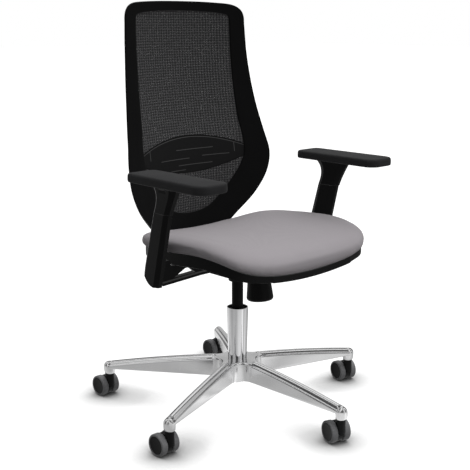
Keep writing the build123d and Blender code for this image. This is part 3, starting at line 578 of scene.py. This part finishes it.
def cushion_points(inset):
    """Closed cushion: each spoke climbs from its foot out over the bulge to the top and in to the middle."""
    foot = seat_outline(150)
    normal = outward(foot)
    # the side's section, as (distance in from the foot, share of the height) pairs
    side = smooth_through([
        (3, 0.0), (-4, 0.10), (-8, 0.30), (-7, 0.52), (-1, 0.74),
        (9, 0.885), (22, 0.955), (38, 0.987), (56, 1.0),
    ], 22)
    deepest = side[-1][0]
    centre = np.array([0.0, cushion_middle])
    rings = []
    under = 6
    for k in range(under):
        mix = (k + 1) / (under + 1)
        p = centre + (foot - 3 * normal - centre) * mix
        rings.append(np.column_stack([p, seat_rim(p[:, 0], p[:, 1]) + seam]))
    rear = np.clip((foot[:, 1] - 70) / 60, 0, 1)  # 1 along the rear edge, which rounds off over a wider band
    for d, f in side:
        rounder = rear * max(d, 0) * (1 - d / deepest)
        p = foot - normal * (d + rounder + inset)[:, None]
        low = seat_rim(p[:, 0], p[:, 1]) + seam
        high = seat_top(p[:, 0], p[:, 1]) - max(inset, 0)
        rings.append(np.column_stack([p, low + (high - low) * f]))
    last = foot - normal * (deepest + inset)
    for mix in np.linspace(0.88, 0.06, 9):
        p = centre + (last - centre) * mix
        rings.append(np.column_stack([p, seat_top(p[:, 0], p[:, 1]) - inset]))
    low_centre = [*centre, float(seat_rim(*centre)) + seam]
    high_centre = [*centre, float(seat_top(*centre)) - inset]
    return capped(rings, low_centre, high_centre)


def spread_out(obj, value, rounds):
    """Values at an object's points, averaged again and again with those of their neighbours."""
    ends = np.empty(len(obj.data.edges) * 2, dtype=np.int32)
    obj.data.edges.foreach_get("vertices", ends)
    near, far = ends.reshape(-1, 2).T
    size = len(value)
    count = np.maximum(np.bincount(near, minlength=size) + np.bincount(far, minlength=size), 1)
    for _ in range(rounds):
        total = np.bincount(near, value[far], size) + np.bincount(far, value[near], size)
        value = 0.5 * value + 0.5 * total / count
    return value


def point_values(obj, name):
    """Positions or normals of an object's points, one row each."""
    values = np.empty(len(obj.data.vertices) * 3)
    obj.data.vertices.foreach_get(name, values)
    return values.reshape(-1, 3)


def inflate(obj, voxel, pressure, cap):
    """Swell a closed piece with a cloth simulation, keep what moved outwards up to a cap, and smooth it."""
    frames = 20
    remesh = obj.modifiers.new("remesh", "REMESH")
    remesh.mode = "VOXEL"
    remesh.voxel_size = voxel
    apply_modifiers(obj)
    start = point_values(obj, "co")
    normal = point_values(obj, "normal")
    cloth = obj.modifiers.new("cloth", "CLOTH")
    s = cloth.settings
    s.use_pressure = True
    s.uniform_pressure_force = pressure
    s.effector_weights.gravity = 0.0
    s.quality = 5
    s.tension_stiffness = 20
    s.compression_stiffness = 20
    s.bending_stiffness = 0.5
    cloth.collision_settings.use_collision = False
    cloth.point_cache.frame_start = 1
    cloth.point_cache.frame_end = frames
    for k in range(1, frames + 1):
        scene.frame_set(k)
    apply_modifiers(obj)
    end = point_values(obj, "co")
    scene.frame_set(1)
    swell = ((end - start) * normal).sum(1)
    swell = spread_out(obj, cap * np.tanh(np.maximum(swell, -cap / 4) / cap), 24)
    obj.data.vertices.foreach_set("co", (start + normal * swell[:, None]).ravel())
    smooth = obj.modifiers.new("smooth", "SMOOTH")
    smooth.iterations = 6
    smooth.factor = 0.5
    more = obj.modifiers.new("round", "SUBSURF")
    more.levels = 1
    more.render_levels = 1
    apply_modifiers(obj)


def make_cushion():
    """Seat cushion, swollen by a cloth simulation."""
    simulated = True
    verts, faces = cushion_points(inset=-1.0 if simulated else 0.0)
    obj = new_piece("seat_cushion_soft", verts, faces, [CLOTH])
    if simulated:
        inflate(obj, voxel=0.0055, pressure=4.0, cap=0.0022)
        obj.data.materials.clear()
        obj.data.materials.append(CLOTH)
    shade_smooth(obj)
    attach(obj, "seat")
    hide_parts("seat_cushion")


# ---------------------------------------------------------------- arms
pad_middle = 270.6  # distance of a pad's middle from the chair's
pad_low, pad_high = 597.0, 617.0


def make_pad(side):
    """Soft arm pad: a rounded slab, very slightly crowned, with a tight edge radius."""
    sign = 1 if side == "left" else -1
    outline = rounded([(-44.5, -226), (44.5, -226), (41, 30), (-41, 30)], (28, 28, 19, 19), 180)
    normal = outward(outline)
    # the edge's section, as (distance in from the outline, height over the foot or under the top) pairs
    lower = [(17, 0), (6, 0), (2.6, 0.2), (0.9, 1.1), (0.25, 2.8), (0, 6)]
    upper = [(0.1, 8), (0.5, 5), (1.5, 2.6), (3.3, 1.2), (6.5, 0.5), (12, 0.18), (17, 0.05), (18, 0)]
    profile = [(d, pad_low + up) for d, up in lower] + [(d, pad_high - down) for d, down in upper]
    rings = []
    for d, z in profile:
        p = outline - normal * d
        rings.append(np.column_stack([sign * (p[:, 0] + pad_middle), p[:, 1], np.full(len(p), z)]))
    centre = [sign * pad_middle, -98.0]
    verts, faces = capped(rings, centre + [pad_low], centre + [pad_high])
    obj = new_piece(side + "_arm_pad_soft", verts, faces, [PAD])
    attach(obj, side + "_arm")
    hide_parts(side + "_arm_pad")


# ---------------------------------------------------------------- back
back_line = curve_value([  # depth of the back's front in the middle, by height
    (340, 173), (430, 172), (500, 168.6), (560, 168.4), (600, 169.6), (640, 175), (700, 186.2),
    (780, 197.8), (860, 204.9), (940, 207.3), (1010, 207.5),
])
back_bow = 0.00096  # the sides come forward by this times x squared
back_half = 230.4
mesh_depth = 3.6  # of the mesh behind the front of the back
mesh_middle = 720.0


def back_front(x, z):
    """Depth of the front of the back at a place in its outline."""
    return back_line(z) - back_bow * x * x


def window_loop(count, grow=0.0):
    """The mesh window's outline, optionally grown."""
    right = [
        (0, 465), (32, 468), (62, 478), (107, 518), (143, 561), (156, 585), (161.5, 600), (164, 636),
        (156.4, 700), (152.3, 780), (150, 880), (148.8, 938), (147.5, 947), (143, 952.5), (130, 956),
        (64, 961.5), (0, 963),
    ]
    loop = smooth_through(mirrored(right), count, closed=True)
    return loop + outward(loop) * grow


def frame_loop(count):
    """The back's outer outline."""
    right = [
        (0, 372), (52, 372), (72, 378), (130, 436), (190, 497), (222, 553), (back_half, 605), (221, 660),
        (207, 740), (195, 840), (188.5, 930), (187.5, 948), (183, 961), (173, 971), (155, 978.5),
        (100, 983.5), (0, 985.5),
    ]
    return smooth_through(mirrored(right), count, closed=True)


def make_frame():
    """The back's ring: rounded front edges, thinning to its rim, following the back's curve."""
    count = 560
    outer, inner = frame_loop(count), window_loop(count)
    width = np.linalg.norm(inner - outer, axis=1)

    def row(share, depth, behind=False):
        """A loop at a share of the way inwards, at a depth behind the front or before the rear."""
        p = outer + (inner - outer) * np.reshape(share, (-1, 1))
        if behind:
            thick = 16.0 - 13.0 * (p[:, 0] / back_half) ** 2
            depth = thick - depth
        return np.column_stack([p[:, 0], back_front(p[:, 0], p[:, 1]) + depth, p[:, 1]])

    rows = [row(d / width, depth) for d, depth in ((0, 1.5), (0.4, 0.7), (1.2, 0.2), (2.6, 0.0))]
    rows += [row(share, -0.25) for share in (0.33, 0.66)]
    rows += [row(1 - d / width, depth) for d, depth in ((3.0, 0.0), (1.4, 0.3), (0.4, 1.1), (0, 2.2))]
    rows += [row(1 - d / width, depth, True) for d, depth in ((0, 1.6), (0.5, 0.5), (1.8, 0.0))]
    rows += [row(share, -0.2, True) for share in (0.66, 0.33)]
    rows += [row(d / width, depth, True) for d, depth in ((2.4, 0.0), (0.7, 0.4), (0, 1.2))]
    faces = grid_faces(len(rows), count, wrap_rows=True, wrap_cols=True)
    obj = new_piece("back_frame_ring", np.vstack(rows) * MM, faces, [FRAME_BLACK])
    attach(obj, "back")
    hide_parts("back_frame")


def make_mesh():
    """Stretched mesh: one sheet that follows the back, its edge held inside the frame."""
    loop = window_loop(240, grow=3.0)
    centre = np.array([0.0, mesh_middle])
    rings = []
    for mix in np.linspace(1.0, 0.03, 34):
        p = centre + (loop - centre) * mix
        rings.append(np.column_stack([p[:, 0], back_front(p[:, 0], p[:, 1]) + mesh_depth, p[:, 1]]))
    middle = [0, float(back_front(0, mesh_middle)) + mesh_depth, mesh_middle]
    verts = np.vstack(rings + [[middle]]) * MM
    count = len(loop)
    faces = [tuple(q) for q in grid_faces(len(rings), count, wrap_cols=True)]
    final = (len(rings) - 1) * count
    faces += [(len(verts) - 1, final + k, final + (k + 1) % count) for k in range(count)]
    obj = new_piece("back_mesh_sheet", verts, faces, [MESH])
    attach(obj, "back")
    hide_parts("back_mesh")


# ---------------------------------------------------------------- casters
def make_wheel(number, side):
    """Caster wheel: grey tread with rounded shoulders round a dished black hub."""
    joint = next(j for j in frame["joints"] if j["name"] == side + "_wheel_spin_" + number)
    axle = np.array(joint["axis"], float)
    centre = np.array(joint["pos_m"], float)
    lo, hi = (np.array(v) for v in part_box(side + "_wheel_" + number))
    sign = 1.0 if np.dot((lo + hi) / 2 - centre, axle) > 0 else -1.0
    # (radius, distance from the caster's middle) pairs, from the inner face round to the outer
    inner = [(0.001, 9.0), (20.4, 9.0)]
    tread = [
        (20.4, 8.0), (23.6, 8.0), (25.0, 8.6), (25.8, 9.8), (26.0, 11.5), (26.0, 21.0),
        (25.8, 22.7), (25.0, 23.9), (23.6, 24.5), (21.4, 24.5), (21.0, 24.1), (20.9, 23.2),
    ]
    hub = [(20.6, 23.7), (19.8, 23.9), (17.5, 23.7), (13, 23.1), (8, 22.8), (0.001, 22.7)]
    count = 72
    profile = [(radius * MM, along * MM) for radius, along in inner + tread + hub]
    verts, faces = turned(profile, centre, axle * sign, count)
    ring = np.arange(len(faces)) // count
    is_hub = (ring < len(inner)) | (ring >= len(inner) + len(tread) - 1)
    obj = new_piece("caster_wheel_" + side + "_" + number, verts, faces, [TREAD, DISC], picks=is_hub)
    sharpen(obj, 38)
    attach(obj, side + "_wheel_" + number)
    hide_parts(side + "_wheel_" + number)


# ---------------------------------------------------------------- base
arm_count = 5
base_turn = 1.7  # degrees that the front arm stands off the middle
arm_reach = 330.0  # from the column to a caster's stem
arm_foot = 76.0  # height of an arm's lower edge
root_half, tip_half = 15.5, 13.5  # half an arm's width at the column and at the stem
ridge_root, ridge_fall, ridge_arch = 132, 39, 18
bead_start, bead_nose = 62.0, 9.5  # where an arm's bead has its full height, and how long its round nose is
bead_half, bead_height = 9.7, 8.0
wall = 2.9
web_top = 124.0
socket_foot = 62.0
# half of an arm's section: distance from its middle and drop below the ridge
bead = [(0, 0), (2.4, 0.25), (4.8, 1.05), (6.9, 2.45), (8.4, 4.3), (9.2, 6.1), (bead_half, 7.4)]
ledge = [(10.3, 8.3), (11.4, 8.8), (12.2, 9.2), (13.0, 10.0), (13.4, 11.4), (tip_half, 13.2)]


def ridge_at(r):
    """Height of an arm's ridge line at a distance from the column."""
    t = r / arm_reach
    return ridge_root - ridge_fall * t + ridge_arch * t * (1 - t)


def half_section(r, bead_scale=1.0):
    """Half section of an arm from its ridge to its foot, as (distance, height) pairs."""
    half = root_half - (root_half - tip_half) * r / arm_reach
    ridge = ridge_at(r)
    base = ridge - bead_height
    pts = [(y * bead_scale, base + (bead_height - drop) * bead_scale) for y, drop in bead]
    pts += [(max(y + half - tip_half, bead_half * bead_scale + 0.4), ridge - drop) for y, drop in ledge]
    top = pts[-1][1]
    pts += [(half, top + (arm_foot + 2.0 - top) * f) for f in (0.25, 0.5, 0.75, 1.0)]
    return pts + [(half - 0.25, arm_foot + 0.8), (half - 0.9, arm_foot + 0.2), (half - 1.6, arm_foot)]


def arm_rows():
    """Closed sections along an arm: the outside from foot to foot and the channel below."""
    nose = [bead_start - bead_nose * math.cos(t) for t in np.linspace(0.12, 1.5, 7)]
    rows = []
    for r in [20, 32, 44, 50] + nose + list(np.linspace(64, arm_reach, 36)):
        scale = math.sqrt(max(1 - (max(bead_start - r, 0) / bead_nose) ** 2, 0))
        outside = half_section(r, max(scale, 0.02))
        half = outside[-1][0] - wall
        deep = np.clip((r - 60) / 10, 0, 1) * np.clip((306 - r) / 12, 0, 1)  # shut near the column and the stem
        shut = arm_foot + 0.4
        roof = shut + (ridge_at(r) - 14 - shut) * deep
        channel = [(half, arm_foot), (half, (arm_foot + roof) / 2), (half, roof - 0.3)]
        ring = outside + channel + [(half - 2.5, roof), (0, roof)]
        ring += [(-y, z) for y, z in ring[-2:0:-1]]
        rows.append([(r, y, z) for y, z in ring])
    return np.array(rows)


def nose_rows():
    """The arm's end: the same section swung round the caster's stem, its bead running on down the front."""
    socket = [(13.5, 70.0), (13.1, 64.5), (12.4, 62.6), (11.0, socket_foot), (5.7, socket_foot), (5.7, 66.0)]
    profile = half_section(arm_reach)[:-3] + socket
    curved = len(bead) + len(ledge)
    rows = []
    for turn in np.linspace(-math.pi / 2, 3 * math.pi / 2, 65):
        row = []
        spread = (turn + math.pi) % (2 * math.pi) - math.pi
        swell = 1.6 * math.exp(-((spread / 0.62) ** 4))  # the bead stands out at the very front
        bent = max(math.cos(spread), 0.0) ** 0.6  # and rounds over from the ridge into a quarter circle
        for k, (y, z) in enumerate(profile):
            if k < curved:
                a = k / (curved - 1) * math.pi / 2
                rho = y + ((tip_half + swell) * math.sin(a) - y) * bent
                z = z + (ridge_at(arm_reach) - 13.2 * (1 - math.cos(a)) - z) * bent
            else:
                rho = y + swell * min(max((z - socket_foot - 1) / 8, 0), 1)
            drop = 0.0 if abs(spread) < math.pi / 2 + 0.01 else min(0.4, z - socket_foot)
            row.append((arm_reach + rho * math.cos(turn), rho * math.sin(turn), z - drop))
        rows.append(row)
    return np.array(rows)


def web_rows():
    """The flat web round the column, with rounded valleys between the arms, drawn for all the arms."""
    half, bend, core = 15.0, 30.0, 21.0
    sector = 360 / arm_count
    reach = (half + bend) / math.sin(math.radians(sector / 2))
    outline, lean = [], []
    for k in range(arm_count):
        middle = math.radians(sector * (k + 0.5))
        centre = reach * np.array([math.cos(middle), math.sin(middle)])
        for a in np.linspace(-54, 54, 25):
            away = middle + math.pi - math.radians(a)
            n = np.array([math.cos(away), math.sin(away)])
            outline.append(centre + bend * n)
            lean.append(n)
    outline, lean = np.array(outline), np.array(lean)
    lower = [(1.6, arm_foot), (0.4, arm_foot + 0.3), (0.0, arm_foot + 1.5), (0.0, 100.0)]
    upper = [(0.0, 119.0), (0.5, 121.4), (1.5, 123.0), (3.2, 123.8), (5.5, web_top)]
    rows = []
    for inset, z in lower + upper:
        p = outline + lean * inset
        rows.append(np.column_stack([p, np.full(len(p), z)]))
    angle = np.arctan2(outline[:, 1], outline[:, 0])
    for z in (web_top, arm_foot):
        rows.append(np.column_stack([core * np.cos(angle), core * np.sin(angle), np.full(len(angle), z)]))
    return np.array(rows)


def make_base():
    """Polished five-star base, each arm a beaded channel that ends in the caster socket."""
    verts, faces = [], []

    def place(rows, turn, wrap_rows, wrap_cols):
        """Turn a grid of points about the column and add it to the casting."""
        c, n = math.cos(turn), math.sin(turn)
        p = rows.reshape(-1, 3)
        start = sum(len(v) for v in verts)
        verts.append(np.column_stack([c * p[:, 0] - n * p[:, 1], n * p[:, 0] + c * p[:, 1], p[:, 2]]))
        faces.extend(grid_faces(rows.shape[0], rows.shape[1], wrap_rows, wrap_cols) + start)

    first = math.radians(-90 + base_turn)
    place(web_rows(), first, True, True)
    for k in range(arm_count):
        turn = first + k * 2 * math.pi / arm_count
        place(arm_rows(), turn, False, True)
        place(nose_rows(), turn, False, False)
    obj = new_piece("base_casting", np.vstack(verts) * MM, faces, [ALUMINIUM])
    sharpen(obj, 46)
    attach(obj, "base")
    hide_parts("five_star_base")


# ---------------------------------------------------------------- CAD nodes that stay
def dress(mat, names):
    """Give CAD nodes a material."""
    for name in names:
        data = nodes[name].data
        data.materials.clear()
        data.materials.append(mat)


make_base()
make_cushion()
make_mesh()
make_frame()
for side in ("left", "right"):
    make_pad(side)
    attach(softened(side + "_arm_upright", BLACK, 2.2, 3, 24), "seat")
    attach(softened(side + "_arm_post", BLACK, 2.0, 3, 24), side + "_arm")
for k in range(1, 6):
    make_wheel(str(k), "left")
    make_wheel(str(k), "right")
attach(softened("lumbar_panel", BLACK, 0.8, 2, 35), "lumbar")
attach(softened("seat_shell", BLACK, 1.5, 2, 35), "seat")
dress(DISC, [n for n in nodes if n.startswith("caster_hood")])
dress(STEEL, [n for n in nodes if n.startswith(("caster_stem", "wheel_axle"))])
dress(BLACK, [
    "left_arm_button", "right_arm_button", "tension_knob", "height_lever", "tilt_lock_lever", "guide_bush",
    "gas_cylinder",
])
dress(DARK_METAL, [
    "mechanism_housing", "seat_plate", "back_carrier", "front_pivot_shaft", "rear_pivot_shaft", "back_bolts",
    "lumbar_rails",
])
dress(STEEL, [
    "piston_rod", "thrust_bearing", "retaining_clip", "tension_screw", "tilt_spring", "release_pin",
    "seat_screws", "arm_bolts",
])
dress(CHROME, ["column_tube"])


# ---------------------------------------------------------------- stage, light and camera
def seen_directly(tree):
    """1 for rays from the camera, straight or through clear openings."""
    path = tree.nodes.new("ShaderNodeLightPath")
    return add(tree, path.outputs["Is Camera Ray"], path.outputs["Is Transmission Ray"], clamp=True)


def seen_in_mirrors(tree):
    """1 for rays that polished surfaces send out."""
    return tree.nodes.new("ShaderNodeLightPath").outputs["Is Glossy Ray"]


def half_and_half(tree, value):
    """A value between -1 and 1 brought to 0 to 1."""
    return times(tree, add(tree, value, 1.0), 0.5)


def greys(tree, source, stops):
    """A ramp of neutral levels; stops are (place, level)."""
    return ramp(tree, source, [(place, grey(level)) for place, level in stops])


def fade(tree, value, low, high, at_low=0.0, at_high=1.0):
    """A value that goes from one level to another between two limits."""
    limits = {"From_Min": low, "From_Max": high, "To_Min": at_low, "To_Max": at_high}
    n = node(tree, "ShaderNodeMapRange", Value=value, **limits)
    return n.outputs[0]


def studio_panels(tree, x, y):
    """Brightness that polished metal finds on the floor, by direction: soft panels with darker gaps."""
    turn = math_node(tree, "DIVIDE", math_node(tree, "ARCTAN2", y, x), 2 * math.pi)
    return greys(tree, add(tree, turn, 0.5), [
        (0.02, 0.46), (0.10, 0.42), (0.16, 0.66), (0.24, 0.72), (0.29, 1.0), (0.33, 0.40), (0.37, 0.72),
        (0.44, 0.50), (0.53, 0.34), (0.62, 0.62), (0.73, 0.86), (0.83, 0.66), (0.94, 0.40),
    ])


def make_floor():
    """Floor that burns out to white where it is open and keeps the soft shadows below the casters."""
    half = 30.0
    shadow_reach, shadow_depth = 0.105, 3.2
    mesh = bpy.data.meshes.new("floor")
    corners = [(-half, -half, 0), (half, -half, 0), (half, half, 0), (-half, half, 0)]
    mesh.from_pydata(corners, [], [(0, 1, 2, 3)])
    obj = bpy.data.objects.new("floor", mesh)
    scene.collection.objects.link(obj)
    m, tree, shader, out = material("floor_paper")
    tree.nodes.remove(shader)
    spot = coordinates(tree)
    from_axis = vector_math(tree, "LENGTH", spot).outputs["Value"]
    near = node(tree, "ShaderNodeAmbientOcclusion", Distance=shadow_reach)
    near.samples = 12
    shade = minus(tree, 1.0, math_node(tree, "POWER", near.outputs["AO"], shadow_depth))
    contact = minus(tree, 1.0, times(tree, shade, fade(tree, from_axis, 0.14, 0.24)))
    white = node(tree, "ShaderNodeBsdfDiffuse", Color=(0.22, 0.22, 0.22, 1))
    lift = node(tree, "ShaderNodeEmission", Color=(1, 1, 1, 1), Strength=times(tree, contact, 0.95))
    both = tree.nodes.new("ShaderNodeAddShader")
    tree.links.new(white.outputs[0], both.inputs[0])
    tree.links.new(lift.outputs[0], both.inputs[1])
    plain = node(tree, "ShaderNodeBsdfDiffuse", Color=(0.20, 0.20, 0.20, 1))
    place = node(tree, "ShaderNodeSeparateXYZ", Vector=spot)
    panels = studio_panels(tree, place.outputs["X"], place.outputs["Y"])
    strength = fade(tree, from_axis, 0.45, 0.9, 1.15, 0.85)
    mirrored_floor = node(tree, "ShaderNodeEmission", Color=panels, Strength=strength)
    unseen = choose(tree, seen_in_mirrors(tree), plain, mirrored_floor)
    whole = choose(tree, seen_directly(tree), unseen, both)
    tree.links.new(whole.outputs[0], out.inputs["Surface"])
    mesh.materials.append(m)


def make_world():
    """White to the camera; polished metal sees bright and grey panels; the rest sees light from one side."""
    world = bpy.data.worlds.new("studio")
    scene.world = world
    world.use_nodes = True
    tree = world.node_tree
    tree.nodes.clear()
    out = tree.nodes.new("ShaderNodeOutputWorld")
    direction = node(tree, "ShaderNodeSeparateXYZ", Vector=coordinates(tree, "Generated"))
    x, y, z = direction.outputs
    around = math_node(tree, "ARCTAN2", y, x)
    stripes = math_node(tree, "SINE", minus(tree, times(tree, around, 5.0), 2.0))
    panels = greys(tree, half_and_half(tree, stripes), [(0.26, 0.12), (0.58, 1.0)])
    up = half_and_half(tree, z)
    height = greys(tree, up, [(0.48, 0.62), (0.52, 0.40), (0.62, 0.62), (0.72, 0.40), (0.86, 0.95)])
    studio = mix_colour(tree, "MULTIPLY", 1.0, height, panels)
    shiny = node(tree, "ShaderNodeBackground", Color=studio, Strength=1.0)
    sky = greys(tree, up, [(0.0, 0.16), (0.5, 0.32), (0.75, 0.72), (1.0, 1.0)])
    lean = add(tree, minus(tree, times(tree, x, 0.80), times(tree, y, 0.30)), 1.0)
    plain = node(tree, "ShaderNodeBackground", Color=sky, Strength=math_node(tree, "MAXIMUM", lean, 0.1))
    white = node(tree, "ShaderNodeBackground", Color=(1, 1, 1, 1), Strength=1.0)
    unseen = choose(tree, seen_in_mirrors(tree), plain, shiny)
    whole = choose(tree, seen_directly(tree), unseen, white)
    tree.links.new(whole.outputs[0], out.inputs["Surface"])


def aimed(name, light, place, target):
    """Put a lamp at a place, looking at a target."""
    obj = bpy.data.objects.new(name, light)
    scene.collection.objects.link(obj)
    obj.location = place
    obj.rotation_euler = (Vector(target) - Vector(place)).to_track_quat("-Z", "Y").to_euler()
    return obj


def make_lamps():
    """A wide soft sky from above, which polished metal doesn't see, and a weak tall panel in front."""
    light = bpy.data.lights.new("sky", "SUN")
    light.energy = 1.75
    light.angle = math.radians(60)
    aimed("sky", light, (0.6, -0.1, 3.0), (0, 0, 0)).visible_glossy = False
    light = bpy.data.lights.new("front", "AREA")
    light.energy = 2.5
    light.shape = "RECTANGLE"
    light.size, light.size_y = 1.0, 1.8
    aimed("front", light, (0.3, -3.0, 1.1), (0, 0, 0.5))


def make_camera():
    """Camera 2.18 m from the column axis and 0.93 m high, 43.5 degrees to the sitter's right of the front."""
    reach, height = 2.1792, 0.9337
    around, pan, down = (math.radians(a) for a in (-43.49, -43.33, 12.91))
    data = bpy.data.cameras.new("camera")
    data.sensor_width = 36.0
    data.lens = 70.93
    cam = bpy.data.objects.new("camera", data)
    scene.collection.objects.link(cam)
    cam.location = (reach * math.sin(around), -reach * math.cos(around), height)
    forward = Vector((-math.sin(pan) * math.cos(down), math.cos(pan) * math.cos(down), -math.sin(down)))
    right = Vector((math.cos(pan), math.sin(pan), 0))
    up = right.cross(forward)
    cam.rotation_mode = "QUATERNION"
    cam.rotation_quaternion = Matrix((right, up, -forward)).transposed().to_quaternion()
    scene.camera = cam


make_floor()
make_world()
seen_by_metal = ("floor", "base_casting", "column_tube", "caster")
for obj in scene.objects:
    if obj.type == "MESH" and not obj.name.startswith(seen_by_metal):
        obj.visible_glossy = False
make_lamps()
make_camera()
scene.view_settings.view_transform = "Standard"
